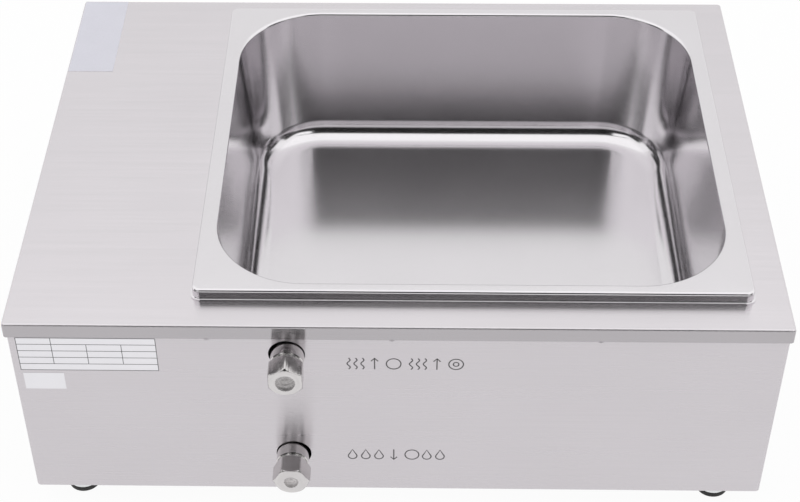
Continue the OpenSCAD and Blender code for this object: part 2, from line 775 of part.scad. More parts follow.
// A key's cap stands through the bezel; its flange behind keeps it in
module key(i) at_thermostat() at_key(i) {
    flange_n = -run_gap - key_flange_t;
    stem_n = tact_n + key_travel + run_gap / 2;
    translate([0, 0, flange_n]) rounded_bar(key_w, key_h, bezel_t + key_stand - flange_n, key_r);
    translate([0, 0, flange_n])
        rounded_bar(key_w + 2 * key_flange, key_h + 2 * key_flange, key_flange_t, key_r + key_flange);
    translate([0, 0, stem_n]) cylinder(h = flange_n - stem_n, r = key_stem_r);
}

module key_set() color("gray") key(0);
module key_up() color("gray") key(1);
module key_down() color("gray") key(3);
module key_power() color("gray") key(2);

// Rocker switch
module at_switch() seat() on_front(switch_x, switch_z) children();

module switch_body() color("black") at_switch() difference() {
    union() {
        rounded_bar(switch_w, switch_h, switch_frame_t, switch_frame_t);
        translate([0, 0, -switch_case_l])
            centred_box(switch_case_w, switch_h - 2 * sheet_t - 2 * cut_play, switch_case_l);
    }
    translate([0, 0, rocker_pivot_n]) rotate([0, 90, 0]) intersection() {
        cylinder(h = rocker_w + 2 * run_gap, r = rocker_r + run_gap, center = true);
        translate([-2 * rocker_r, -rocker_r - run_gap, -rocker_w])
            cube([3 * rocker_r, 2 * (rocker_r + run_gap), 2 * rocker_w]);
    }
    translate([0, 0, rocker_pivot_n]) centred_box(rocker_w + 2 * run_gap, 2 * (rocker_r + run_gap), rocker_r);
    translate([0, 0, rocker_pivot_n]) rotate([0, 90, 0])
        cylinder(h = rocker_w + 2 * run_gap + 2 * pivot_l, r = pivot_r + pin_play, center = true);
}

// The rocker's side profile: two flats that meet in a shallow valley, ends round the pivot
module rocker_profile() {
    rise = rocker_r * tan(rocker_tilt);
    peak = rocker_top_n - rocker_pivot_n;
    intersection() {
        circle(rocker_r);
        polygon([[-rocker_r, -rocker_under], [rocker_r, -rocker_under], [rocker_r, peak + rise], [0, peak],
            [-rocker_r, peak + rise]]);
    }
}

module switch_rocker() color("green") at_switch()
    translate([0, 0, rocker_pivot_n]) rotate([rocker_tilt, 0, 0]) {
        rotate([90, 0, 90]) linear_extrude(rocker_w, center = true) rocker_profile();
        rotate([0, 90, 0]) cylinder(h = rocker_w + 2 * pivot_l, r = pivot_r, center = true);
    }

module switch_terminals() color("goldenrod") at_switch() for (sx = [-1, 1], sy = [-1, 1])
    translate([sx * tab_pitch / 2, sy * tab_pitch, -switch_case_l - tab_l]) centred_box(tab_t, tab_w, tab_l);

// Heating lamp
module at_lamp() seat() on_front(lamp_x, switch_z) children();

module lamp_body() color("black") at_lamp() difference() {
    union() {
        cylinder(h = lamp_bezel_t, r1 = lamp_bezel_r, r2 = lamp_bezel_r - lamp_bezel_t / 2);
        translate([0, 0, -lamp_l]) cylinder(h = lamp_l, r = lamp_r);
    }
    translate([0, 0, -lamp_l / 2]) cylinder(h = lamp_l / 2 + lamp_bezel_t + over, r = lamp_lens_r + pin_play);
}

module lamp_lens() color("orangered") at_lamp() rotate_extrude() intersection() {
    translate([0, -lamp_l / 2]) square([lamp_lens_r, lamp_l / 2 + lamp_reach]);
    union() {
        translate([0, lamp_reach - 2 * lamp_lens_r]) circle(2 * lamp_lens_r);
        translate([0, -lamp_l / 2]) square([lamp_lens_r, lamp_l / 2]);
    }
}

module lamp_nut() color("silver") at_lamp()
    translate([0, 0, -sheet_t - lamp_nut_t]) hex_nut(lamp_nut_flats, lamp_r + pin_play, lamp_nut_t);

// Mains inlet
module at_inlet() seat() on_left(inlet_y, inlet_z) children();

// The inlet's mouth, with its two upper corners cut off
module inlet_mouth() {
    w = inlet_mouth_w / 2;
    h = inlet_mouth_h / 2;
    c = inlet_mouth_cut;
    polygon([[-w, -h], [w, -h], [w, h - c], [w - c, h], [c - w, h], [-w, h - c]]);
}

module at_inlet_screws() for (s = [-1, 1]) translate([s * inlet_screw_pitch / 2, 0, 0]) children();

module at_inlet_pins() {
    for (s = [-1, 1]) translate([s * inlet_pin_pitch, -inlet_line_drop, 0]) children();
    translate([0, inlet_earth_rise, 0]) children();
}

module inlet_body() color("black") at_inlet() difference() {
    union() {
        rounded_bar(inlet_w, inlet_h, inlet_flange_t, inlet_flange_t);
        translate([0, 0, -inlet_case_l]) centred_box(inlet_case_w, inlet_case_h, inlet_case_l);
    }
    translate([0, 0, inlet_flange_t - inlet_mouth_l]) linear_extrude(inlet_mouth_l + over) inlet_mouth();
    at_inlet_pins() translate([0, 0, -inlet_case_l - over])
        centred_box(inlet_pin[0] + pin_play, inlet_pin[1] + pin_play, inlet_case_l);
    at_inlet_screws() {
        translate([0, 0, -over]) cylinder(h = inlet_flange_t + 2 * over, r = m3_r + hole_play);
        translate([0, 0, inlet_flange_t - inlet_screw_slope])
            cylinder(h = inlet_screw_slope, r1 = m3_r + hole_play, r2 = m3_r + hole_play + inlet_screw_slope);
    }
}

module inlet_pins() color("silver") at_inlet() at_inlet_pins() {
    root = inlet_case_l / 5;
    translate([0, 0, inlet_flange_t - inlet_mouth_l - root])
        centred_box(inlet_pin[0], inlet_pin[1], inlet_pin_l + root);
    translate([0, 0, -inlet_case_l - tab_l]) centred_box(tab_t, tab_w / 2, tab_l + root);
}

module inlet_screws() color("silver") at_inlet() at_inlet_screws() {
    rotate_extrude() polygon([[0, inlet_flange_t - inlet_screw_l], [m3_r, inlet_flange_t - inlet_screw_l],
        [m3_r, inlet_flange_t - inlet_screw_slope], [m3_r + inlet_screw_slope, inlet_flange_t],
        [0, inlet_flange_t]]);
    translate([0, 0, -sheet_t - m3_r * 2 * nut_height_share]) screw_nut(m3_r);
}

// Pieces on the base plate
module at_block() seat() translate([bay_x, block_y, floor_z - sheet_t]) children();

module at_ways() for (i = [-1:1], s = [-1, 1])
    translate([i * block_way_pitch, s * block_d / 4, block_h * 2 / 3]) children();

module terminal_block() color("white") at_block() difference() {
    centred_box(block_w, block_d, block_h);
    for (i = [-1:1]) translate([i * block_way_pitch, 0, block_h / 3]) rotate([90, 0, 0])
        cylinder(h = block_d + 2 * over, r = block_way_r, center = true);
    at_ways() cylinder(h = block_h, r = block_screw_r + run_gap / 2);
}

module terminal_screws() color("goldenrod") at_block() at_ways()
    cylinder(h = block_screw_h, r = block_screw_r);

module at_relay() seat() translate([bay_x, relay_y, floor_z - sheet_t]) children();

module at_relay_holes() for (s = [-1, 1]) translate([0, s * (relay_d - relay_ear) / 2, 0]) children();

// The four lowered corners, each with its contact screw
module at_relay_posts() for (sx = [-1, 1], sy = [-1, 1]) translate([sx * relay_w / 3,
    sy * (relay_d / 2 - relay_ear - relay_step / 2), relay_h - relay_step / 2]) children();

module relay_plate() color("gainsboro") at_relay() difference() {
    union() {
        centred_box(relay_w + 2 * plate_margin, relay_d + 2 * plate_margin, plate_t);
        for (s = [-1, 1]) translate([s * (relay_w / 2 + plate_margin - plate_fin_t), 0, 0])
            centred_box(plate_fin_t, relay_d + 2 * plate_margin, plate_t + plate_fin_h);
    }
    at_relay_holes() translate([0, 0, -over]) cylinder(h = plate_t + 2 * over, r = m3_r + pin_play);
}

module relay_body() color("ivory") at_relay() translate([0, 0, plate_t]) difference() {
    union() {
        centred_box(relay_w, relay_d, relay_foot_t);
        centred_box(relay_w, relay_d - 2 * relay_ear, relay_h);
    }
    at_relay_holes() translate([0, 0, -over]) cylinder(h = relay_h + 2 * over, r = m3_r + hole_play);
    at_relay_posts() centred_box(relay_w / 4, relay_step + over, relay_h);
}

module relay_screws() color("silver") at_relay() {
    at_relay_holes() translate([0, 0, plate_t + relay_foot_t])
        pan_screw(m3_r, m3_head_r, m3_head_h, plate_t + relay_foot_t);
    at_relay_posts() translate([0, 0, plate_t]) cylinder(h = relay_post_h, r = relay_post_r);
}

module at_earth() seat() translate([bay_x + earth_side, block_y, 0]) children();

module earth_stud() color("silver") at_earth() {
    translate([0, 0, foot_h]) rotate([180, 0, 0]) pan_screw(m5_r, m5_head_r, m5_head_h, earth_l);
}

module earth_nuts() color("goldenrod") at_earth() translate([0, 0, floor_z - sheet_t]) {
    ring(earth_washer_r, m5_r + pin_play, earth_washer_t);
    for (i = [0, 1]) translate([0, 0, earth_washer_t + i * (earth_nut_t + earth_washer_t)])
        hex_nut(m5_r * 2 * nut_share, m5_r + pin_play, earth_nut_t);
    translate([0, 0, earth_washer_t + earth_nut_t]) ring(earth_washer_r, m5_r + pin_play, earth_washer_t);
}

top_cover();
casing();
base_plate();
tack_welds();
base_screws();
foot_cups();
foot_pads();
foot_screws();
water_tank();
food_pan();
heating_element();
element_supports();
element_bushings();
element_gaskets();
element_nuts();
temperature_probe();
probe_gland();
overheat_cutout();
cutout_bracket();
cutout_nuts();
exhaust_socket();
exhaust_seal();
exhaust_plug();
drain_socket();
drain_seal();
drain_plug();
thermostat_case();
thermostat_bezel();
thermostat_board();
display_module();
display_window();
thermostat_clips();
key_set();
key_up();
key_down();
key_power();
switch_body();
switch_rocker();
switch_terminals();
lamp_body();
lamp_lens();
lamp_nut();
inlet_body();
inlet_pins();
inlet_screws();
terminal_block();
terminal_screws();
relay_body();
relay_plate();
relay_screws();
earth_stud();
earth_nuts();
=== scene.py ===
# %% [markdown]
# # An electric chocolate melting pot
#
# The pot is a sheet steel box with a water bath inside it. One deep pan hangs in the bath
# by its turned rim, a tubular element under the pan warms the water, and two screw plugs
# on the long side vent and drain it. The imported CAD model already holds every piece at
# its real size, in metres, so this lesson is about finish: brushed sheet, a polished
# pan, turned plugs, and the small pieces of the control side. Where a bend has to look
# smooth, the piece is made again here with finer steps, at the same sizes.

import json
import math
from collections import namedtuple

import bmesh
import bpy
from mathutils import Matrix, Vector

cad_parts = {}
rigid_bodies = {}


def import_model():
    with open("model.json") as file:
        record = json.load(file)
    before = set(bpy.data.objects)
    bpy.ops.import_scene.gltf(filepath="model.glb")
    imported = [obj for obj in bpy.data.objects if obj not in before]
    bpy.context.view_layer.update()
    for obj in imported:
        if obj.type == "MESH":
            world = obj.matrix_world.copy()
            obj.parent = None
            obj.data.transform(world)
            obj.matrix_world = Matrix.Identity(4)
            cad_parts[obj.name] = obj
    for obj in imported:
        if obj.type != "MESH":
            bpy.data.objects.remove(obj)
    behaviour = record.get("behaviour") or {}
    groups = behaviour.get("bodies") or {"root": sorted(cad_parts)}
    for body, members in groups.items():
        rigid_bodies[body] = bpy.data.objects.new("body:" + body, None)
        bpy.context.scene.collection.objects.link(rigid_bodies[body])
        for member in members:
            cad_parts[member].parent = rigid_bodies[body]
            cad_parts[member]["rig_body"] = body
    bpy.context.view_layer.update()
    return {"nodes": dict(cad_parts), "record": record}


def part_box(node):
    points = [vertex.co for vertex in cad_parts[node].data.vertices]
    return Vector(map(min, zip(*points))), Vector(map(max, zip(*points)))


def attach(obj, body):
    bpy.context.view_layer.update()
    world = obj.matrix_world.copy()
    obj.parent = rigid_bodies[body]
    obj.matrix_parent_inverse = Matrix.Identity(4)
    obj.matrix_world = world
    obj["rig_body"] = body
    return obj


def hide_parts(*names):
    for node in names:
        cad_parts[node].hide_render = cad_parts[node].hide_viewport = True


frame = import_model()

# %% [markdown]
# ## Camera
#
# A product photographer stands above the long side and looks down at it. The lens is a
# short telephoto, so the two ends of the box hardly spread. The place and the turn come
# from the corners of the cover and the rim, which are known in millimetres.

# %% Put the camera where the photographer stood
lens = bpy.data.cameras.new("camera")
lens.lens, lens.sensor_width = 76.9274, 36
lens.shift_x, lens.shift_y = 0.022288, -0.009307
camera = bpy.data.objects.new("camera", lens)
camera.location = (0.0076380, -0.8473337, 0.8305632)
camera.rotation_euler = [math.radians(a) for a in (48.51658, 0.32025, 0.95748)]
bpy.context.scene.collection.objects.link(camera)
bpy.context.scene.camera = camera
bpy.context.scene.view_settings.view_transform = "Standard"
print("camera with a", round(lens.lens), "mm lens")

# %% [markdown]
# ## Small helpers
#
# Materials and Geometry Nodes trees are both graphs of nodes, so one helper builds both.
# It takes a node's type, and for each input either a plain value or another node's
# output, which it links.

# %% Helpers that add and link nodes
def connect(tree, node, inputs):
    for key, value in inputs.items():
        socket = node.inputs[key]
        if isinstance(value, bpy.types.NodeSocket):
            tree.links.new(value, socket)
        else:
            socket.default_value = value


def add(tree, kind, inputs=None, **settings):
    made = tree.nodes.new(kind)
    for name, value in settings.items():
        setattr(made, name, value)
    connect(tree, made, inputs or {})
    return made


def maths(tree, operation, *values):
    return add(tree, "ShaderNodeMath", dict(enumerate(values)), operation=operation).outputs[0]


def vectors(tree, operation, inputs):
    return add(tree, "ShaderNodeVectorMath", inputs, operation=operation).outputs[0]


def blend(tree, kind, factor, first, second):
    """Mix node for floats, vectors or colours: its sockets go by kind, not by name."""
    made = add(tree, "ShaderNodeMix", {0: factor}, data_type=kind)
    low, high, output = {"FLOAT": (2, 3, 0), "VECTOR": (4, 5, 1), "RGBA": (6, 7, 2)}[kind]
    connect(tree, made, {low: first, high: second})
    return made.outputs[output]


# %% Helpers that start a bare tree and put an object in the scene
def bare_tree(owner):
    owner.use_nodes = True
    owner.node_tree.nodes.clear()
    return owner.node_tree


def new_object(name, mesh):
    made = bpy.data.objects.new(name, mesh)
    bpy.context.scene.collection.objects.link(made)
    return made


# %% [markdown]
# ## Stage
#
# A plain pale floor carries the pot. The background is white by the floor's own shader:
# seen by the camera, or mirrored in metal, most of it is an emission of strength 1, and
# the rest is a lit diffuse floor that keeps the soft contact shadow. Steel has no colour
# of its own to show, only what stands round it, so the studio is built from large
# panels: one overhead, one behind the pot, one at each side, and in front a low one and
# two small ones high up at the corners. The camera looks in through the gap between
# them. That dark gap is what draws the deep grey in the back wall and the floor of the
# pan.

# %% The floor and the world
WHITE = (1.0, 1.0, 1.0, 1.0)
FLOOR_REACH, FLOOR_GREY, FLOOR_GLOW = 6, 0.86, 0.95
AIR_LIGHT = 0.015


def seen_directly(tree):
    """1 for camera, glossy and transmission rays, 0 for the rays that light the pot."""
    path = add(tree, "ShaderNodeLightPath").outputs
    either = maths(tree, "MAXIMUM", path["Is Camera Ray"], path["Is Glossy Ray"])
    return maths(tree, "MAXIMUM", either, path["Is Transmission Ray"])


def white_to_camera(tree, strength):
    """The camera sees plain white. Every other ray gets the strength."""
    is_camera = add(tree, "ShaderNodeLightPath").outputs["Is Camera Ray"]
    return blend(tree, "FLOAT", is_camera, strength, 1.0)


def quad(name, corners, material):
    mesh = bpy.data.meshes.new(name)
    mesh.from_pydata(corners, [], [tuple(range(len(corners)))])
    mesh.materials.append(material)
    made = new_object(name, mesh)
    return made


floor_paint = bpy.data.materials.new("floor_paint")
tree = bare_tree(floor_paint)
matt = add(tree, "ShaderNodeBsdfDiffuse", {"Color": (FLOOR_GREY, FLOOR_GREY, FLOOR_GREY, 1)})
glow = add(tree, "ShaderNodeEmission", {"Color": WHITE, "Strength": 1.0})
share = maths(tree, "MULTIPLY", seen_directly(tree), FLOOR_GLOW)
mixed = add(tree, "ShaderNodeMixShader", {0: share, 1: matt.outputs[0], 2: glow.outputs[0]})
add(tree, "ShaderNodeOutputMaterial", {"Surface": mixed.outputs[0]})
around = ((-1, -1), (1, -1), (1, 1), (-1, 1))
quad("floor", [(x * FLOOR_REACH, y * FLOOR_REACH, 0) for x, y in around], floor_paint)

world = bpy.data.worlds.new("studio")
tree = bare_tree(world)
strength = white_to_camera(tree, AIR_LIGHT)
air = add(tree, "ShaderNodeBackground", {"Color": WHITE, "Strength": strength})
add(tree, "ShaderNodeOutputWorld", {"Surface": air.outputs[0]})
bpy.context.scene.world = world
print("floor and world ready")

# %% The light panels
ROOM_SIDE, ROOM_REAR, ROOM_FRONT, ROOM_TOP, ROOM_LOW = 2.4, 2.3, -1.9, 2.7, 0.1


def panel(name, corners, radiance):
    """A flat lamp. To the camera it is plain white, like the rest of the background."""
    material = bpy.data.materials.new(name)
    tree = bare_tree(material)
    strength = white_to_camera(tree, radiance)
    glow = add(tree, "ShaderNodeEmission", {"Color": WHITE, "Strength": strength})
    add(tree, "ShaderNodeOutputMaterial", {"Surface": glow.outputs[0]})
    return quad(name, corners, material)


def wide_panel(name, near, far, radiance):
    """As wide as the room, between two edges given as (y, z)."""
    ends = [(-ROOM_SIDE, near), (ROOM_SIDE, near), (ROOM_SIDE, far), (-ROOM_SIDE, far)]
    return panel(name, [(x, *edge) for x, edge in ends], radiance)


wide_panel("panel_back", (ROOM_REAR, ROOM_LOW), (ROOM_REAR, ROOM_TOP), radiance=0.98)
wide_panel("panel_top", (-1.68, ROOM_TOP), (ROOM_REAR, ROOM_TOP), radiance=1.25)
wide_panel("panel_low", (ROOM_FRONT, 0.02), (ROOM_FRONT, 0.7), radiance=0.8)

# The side panels reach to the front only high up, well above the camera.
SIDE_FRONT, HIGH_FROM, CORNER_FROM = -0.5, 1.7, 0.85
side_outline = (
    (SIDE_FRONT, ROOM_LOW), (ROOM_REAR, ROOM_LOW), (ROOM_REAR, ROOM_TOP),
    (ROOM_FRONT, ROOM_TOP), (ROOM_FRONT, HIGH_FROM), (SIDE_FRONT, HIGH_FROM),
)
corner_outline = (
    (CORNER_FROM, HIGH_FROM), (ROOM_SIDE, HIGH_FROM), (ROOM_SIDE, ROOM_TOP), (CORNER_FROM, ROOM_TOP),
)
for side, word in ((-1, "left"), (1, "right")):
    panel(f"panel_{word}", [(side * ROOM_SIDE, y, z) for y, z in side_outline], radiance=1.15)
    corner = [(side * x, ROOM_FRONT, z) for x, z in corner_outline]
    panel(f"panel_front_{word}", corner, radiance=1.4)

# %% [markdown]
# ## Brushed sheet
#
# Stainless sheet leaves the mill with a grain: thousands of fine scratches along its
# length. Each one is a tiny mirror that scatters light across the grain and hardly along
# it, so a highlight turns into a band at right angles to the scratches. Cycles does that
# with anisotropy, if the tangent points across the grain. The grain runs along X on the
# top, front and back, and along Y on the two end walls, where the sheet was folded. The
# scratches are noise drawn out along the grain, the fine ones nearly two hundred times
# and the broad ones about fifty times. They lie in object coordinates, so they keep
# their real size on every piece.

# %% Helpers for the textures of a finish
def new_material(name):
    material = bpy.data.materials.new(name)
    material.use_nodes = True
    return material, material.node_tree, material.node_tree.nodes["Principled BSDF"]


def noise(tree, where, scale, detail):
    inputs = {"Vector": where, "Scale": scale, "Detail": detail}
    return add(tree, "ShaderNodeTexNoise", inputs).outputs["Fac"]


def spread(tree, value, low, high):
    """Noise keeps near its middle, so its part from 0.3 to 0.7 becomes low to high."""
    return add(tree, "ShaderNodeMapRange", {0: value, 1: 0.3, 2: 0.7, 3: low, 4: high}).outputs[0]


def dents(tree, height, strength, depth):
    inputs = {"Strength": strength, "Distance": depth, "Height": height}
    return add(tree, "ShaderNodeBump", inputs).outputs[0]


# %% The brushed steel
END_FACING, WALL_FACING = 0.7, 0.4
FINE_SCRATCH, BROAD_SCRATCH, FINE_SHARE = (14, 2600, 2600), (5, 260, 260), 0.6


def brushed(name, colour, roughness, anisotropy, streak=0.05, wear=0.03, bump=0.15, painted_wall_shade=1.0):
    """Sheet with a grain. A factor can darken the wall faces against the level faces: painted shade."""
    material, tree, shell = new_material(name)
    place = add(tree, "ShaderNodeTexCoord").outputs["Object"]
    normal = add(tree, "ShaderNodeNewGeometry").outputs["Normal"]
    facing = add(tree, "ShaderNodeSeparateXYZ", {0: normal}).outputs
    is_end = maths(tree, "GREATER_THAN", maths(tree, "ABSOLUTE", facing["X"]), END_FACING)
    is_shaded_wall = maths(tree, "LESS_THAN", maths(tree, "ABSOLUTE", facing["Z"]), WALL_FACING)
    grain = blend(tree, "VECTOR", is_end, (1, 0, 0), (0, 1, 0))
    across = vectors(tree, "CROSS_PRODUCT", {0: grain, 1: normal})
    quarter = add(tree, "ShaderNodeMapping", {"Vector": place, "Rotation": (0, 0, math.pi / 2)})
    run = blend(tree, "VECTOR", is_end, place, quarter.outputs[0])
    narrow = vectors(tree, "MULTIPLY", {0: run, 1: FINE_SCRATCH})
    wide = vectors(tree, "MULTIPLY", {0: run, 1: BROAD_SCRATCH})
    fine = maths(tree, "MULTIPLY", noise(tree, narrow, scale=1, detail=3), FINE_SHARE)
    broad = maths(tree, "MULTIPLY", noise(tree, wide, scale=1, detail=4), 1 - FINE_SHARE)
    both = maths(tree, "ADD", fine, broad)
    cloud = noise(tree, place, scale=9, detail=3)
    shade = spread(tree, both, 1 - streak, 1 + streak)
    faint = spread(tree, cloud, 1 - wear / 2, 1 + wear / 2)
    # Faces that stand on end are painted darker than the level faces: painted shade on the wall faces.
    painted_shade_on_walls = blend(tree, "FLOAT", is_shaded_wall, 1.0, painted_wall_shade)
    tone = maths(tree, "MULTIPLY", maths(tree, "MULTIPLY", shade, faint), painted_shade_on_walls)
    connect(tree, shell, {
        "Base Color": vectors(tree, "SCALE", {0: colour, "Scale": tone}),
        "Roughness": spread(tree, both, roughness - wear, roughness + wear),
        "Normal": dents(tree, both, strength=bump, depth=0.00002),
        "Tangent": across,
        "Metallic": 1,
        "Anisotropic": anisotropy,
    })
    return material


housing_steel = brushed("housing_steel", (0.7, 0.667, 0.695), 0.29, anisotropy=1.0)
# The cover's skirt faces are painted at 0.7 of the top's brightness: painted shade.
cover_steel = brushed(
    "cover_steel", (0.67, 0.642, 0.665), 0.19, anisotropy=1.0, streak=0.03, bump=0.06, painted_wall_shade=0.7,
)
bath_steel = brushed("bath_steel", (0.6, 0.6, 0.61), 0.4, anisotropy=0.3)
print("brushed:", housing_steel.name, cover_steel.name, bath_steel.name)

# %% Metal with no grain direction
LEVEL_FACING = 0.93


def plain_metal(name, colour, roughness, grain=900, mottle=0.06, wear=0.05, bump=0.1, level=None):
    """Cast, plated, rolled or polished metal. level is the roughness of level floors."""
    material, tree, shell = new_material(name)
    place = add(tree, "ShaderNodeTexCoord").outputs["Object"]
    speck = noise(tree, place, scale=grain, detail=4)
    cloud = noise(tree, place, scale=grain / 25, detail=3)
    both = maths(tree, "MULTIPLY", maths(tree, "ADD", speck, cloud), 0.5)
    tone = spread(tree, both, 1 - mottle, 1 + mottle)
    rough = spread(tree, both, roughness - wear, roughness + wear)
    if level:
        normal = add(tree, "ShaderNodeNewGeometry").outputs["Normal"]
        upward = add(tree, "ShaderNodeSeparateXYZ", {0: normal}).outputs["Z"]
        ramp = add(tree, "ShaderNodeMapRange", {0: upward, 1: LEVEL_FACING, 2: 1.0, 3: 0, 4: 1})
        rough = blend(tree, "FLOAT", ramp.outputs[0], rough, level)
    connect(tree, shell, {
        "Base Color": vectors(tree, "SCALE", {0: colour, "Scale": tone}),
        "Roughness": rough,
        "Normal": dents(tree, speck, strength=bump, depth=0.00003),
        "Metallic": 1,
    })
    return material


pan_steel = plain_metal(
    "pan_steel", (0.72, 0.7, 0.72), 0.16, grain=500, mottle=0.02, wear=0.02, bump=0.04, level=0.18,
)
print("polished:", pan_steel.name)

# %% [markdown]
# ## The other finishes
#
# Turned pieces carry fine rings from the lathe, so their scratches change quickly along
# the axis and slowly across it. Plated screws, brass and the heat-tinted element differ
# in colour and in how much the surface scatters. Moulded plastics are not metal: they
# have a fine spark-eroded grain from the tool, which a low bump gives, and the clear
# ones let light through.

# %% Turned steel
def turned_metal(name, colour, roughness, rings=2600):
    material, tree, shell = new_material(name)
    place = add(tree, "ShaderNodeTexCoord").outputs["Object"]
    along = vectors(tree, "MULTIPLY", {0: place, 1: (60, rings, 60)})
    groove = noise(tree, along, scale=1, detail=3)
    cloud = noise(tree, place, scale=220, detail=4)
    tone = spread(tree, groove, 0.94, 1.06)
    connect(tree, shell, {
        "Base Color": vectors(tree, "SCALE", {0: colour, "Scale": tone}),
        "Roughness": spread(tree, cloud, roughness - 0.05, roughness + 0.06),
        "Normal": dents(tree, groove, strength=0.2, depth=0.00003),
        "Metallic": 1,
    })
    return material


# %% Plastics and rubber
def moulded(name, colour, roughness, grain=900, mottle=0.08, bump=0.25, clear=0.0, glow=0.0):
    material, tree, shell = new_material(name)
    place = add(tree, "ShaderNodeTexCoord").outputs["Object"]
    grit = noise(tree, place, scale=grain, detail=3)
    cloud = noise(tree, place, scale=45, detail=3)
    both = maths(tree, "MULTIPLY", maths(tree, "ADD", grit, cloud), 0.5)
    tone = spread(tree, both, 1 - mottle, 1 + mottle)
    tint = vectors(tree, "SCALE", {0: colour, "Scale": tone})
    connect(tree, shell, {
        "Base Color": tint,
        "Roughness": spread(tree, cloud, roughness - 0.04, roughness + 0.06),
        "Normal": dents(tree, grit, strength=bump, depth=0.00005),
        "Transmission Weight": clear,
    })
    if glow:
        connect(tree, shell, {"Emission Color": tint, "Emission Strength": glow})
    return material


# %% Name every finish after its slot in the record
finishes = {
    "housing_steel": housing_steel,
    "bath_steel": bath_steel,
    "pan_steel": pan_steel,
    "valve_steel": turned_metal("valve_steel", (0.64, 0.62, 0.62), 0.18),
    "seal_metal": turned_metal("seal_metal", (0.88, 0.88, 0.87), 0.26, rings=1500),
    "screw_steel": plain_metal("screw_steel", (0.74, 0.75, 0.76), 0.27, grain=1400),
    "element_steel": plain_metal("element_steel", (0.33, 0.29, 0.26), 0.4, grain=600, mottle=0.2),
    "brass": plain_metal("brass", (0.78, 0.6, 0.3), 0.28, grain=1200),
    "gasket_red": moulded("gasket_red", (0.42, 0.05, 0.03), 0.6),
    "foot_rubber": moulded("foot_rubber", (0.035, 0.034, 0.034), 0.62, grain=600, mottle=0.2, bump=0.5),
    "black_plastic": moulded("black_plastic", (0.03, 0.03, 0.032), 0.42, mottle=0.15, bump=0.4),
    "key_plastic": moulded("key_plastic", (0.36, 0.37, 0.39), 0.5),
    "clip_plastic": moulded("clip_plastic", (0.75, 0.22, 0.03), 0.45),
    "board_green": moulded("board_green", (0.02, 0.16, 0.06), 0.3, grain=260, mottle=0.35),
    "window_red": moulded("window_red", (0.42, 0.012, 0.012), 0.08, mottle=0.03, bump=0.02, clear=0.75),
    "display_dark": moulded("display_dark", (0.03, 0.01, 0.01), 0.35),
    "rocker_green": moulded("rocker_green", (0.012, 0.36, 0.07), 0.22, mottle=0.04, bump=0.05, clear=0.35),
    "lamp_amber": moulded("lamp_amber", (0.85, 0.26, 0.02), 0.1, mottle=0.03, bump=0.02, clear=0.5),
    "white_plastic": moulded("white_plastic", (0.75, 0.74, 0.7), 0.48),
}
print(len(finishes), "finishes for", len(frame["nodes"]), "CAD nodes")

# %% Finishes that no CAD node takes
recess_steel = plain_metal("recess_steel", (0.5, 0.48, 0.48), 0.5, mottle=0.6, wear=0.1, bump=0.6)
card = plain_metal("label_card", (0.84, 0.83, 0.86), 0.42, grain=1600, mottle=0.03, bump=0.05)
foil = plain_metal("label_foil", (0.82, 0.81, 0.84), 0.34, grain=1600, mottle=0.03, bump=0.05)
paper = moulded("label_paper", (0.66, 0.655, 0.72), 0.7, grain=700, mottle=0.03, bump=0.3)
ink = moulded("label_ink", (0.05, 0.05, 0.055), 0.55, grain=2200, mottle=0.25)
etching = moulded("etched_grey", (0.13, 0.125, 0.13), 0.5, grain=2200, mottle=0.3)
mark_white = moulded("mark_white", (0.8, 0.8, 0.78), 0.5, grain=2000, mottle=0.05)
segment = moulded("segment_red", (0.9, 0.06, 0.03), 0.4, grain=1500, mottle=0.05, glow=0.9)
print("more:", [m.name for m in (recess_steel, card, foil, paper, ink, etching, mark_white, segment)])

# %% [markdown]
# ## Measuring the frame
#
# Whatever is made again here has to fit the pieces that are only copied. So its length,
# width, height and place are measured on the CAD node that it stands for. Only what a
# box can't tell is written down, such as the sheet's thickness, the bends and the room
# round a hole. Millimetres from the middle of the cover are the handiest units for that.

# %% Housing coordinates, and the box of a node in them
MM = 0.001
Box = namedtuple("Box", "low high middle size")
cover_centre = [round((low + high) / 2 / MM, 3) for low, high in zip(*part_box("top_cover"))]
SHIFT = (cover_centre[0], cover_centre[1], 0)


def housing(x, y, z):
    """Millimetres from the middle of the cover, to the model's own place in metres."""
    return (Vector((x, y, z)) + Vector(SHIFT)) * MM


def measured(node):
    """The corners, the middle and the size of a CAD node's box, in housing millimetres."""
    low, high = (Vector([round(v / MM - s, 3) for v, s in zip(at, SHIFT)]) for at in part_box(node))
    return Box(low, high, (low + high) / 2, high - low)


print("middle of the cover:", SHIFT[:2], "mm")

# %% [markdown]
# ## A tree that sweeps a profile round a rectangle
#
# The pan, the cover and the casing all follow one rule: a bent profile that runs round a
# rectangle with rounded corners. So one Geometry Nodes tree makes all three. Its base
# mesh is the profile, drawn as outset and depth; the tree draws the rectangle, rounds
# its corners, and carries the profile round it. Length, width and corner radius are
# named inputs. The flat faces between two sweeps are then filled in.

# %% Start and end a tree
def new_tree(name, sizes):
    tree = bpy.data.node_groups.new(name, "GeometryNodeTree")
    tree.interface.new_socket("Geometry", in_out="INPUT", socket_type="NodeSocketGeometry")
    for label, default in sizes.items():
        kind = {int: "NodeSocketInt", float: "NodeSocketFloat"}.get(type(default), default)
        socket = tree.interface.new_socket(label, in_out="INPUT", socket_type=kind)
        if kind != default:
            socket.default_value = default
    tree.interface.new_socket("Geometry", in_out="OUTPUT", socket_type="NodeSocketGeometry")
    return tree, tree.nodes.new("NodeGroupInput").outputs


def end_tree(tree, shape, material):
    """Makes the instances real, gives them the material and hands them out."""
    real = add(tree, "GeometryNodeRealizeInstances", {0: shape.outputs[0]})
    painted = add(tree, "GeometryNodeSetMaterial", {"Geometry": real.outputs[0], "Material": material})
    add(tree, "NodeGroupOutput", {0: painted.outputs[0]})
    print(tree.name, "has", len(tree.nodes), "nodes")


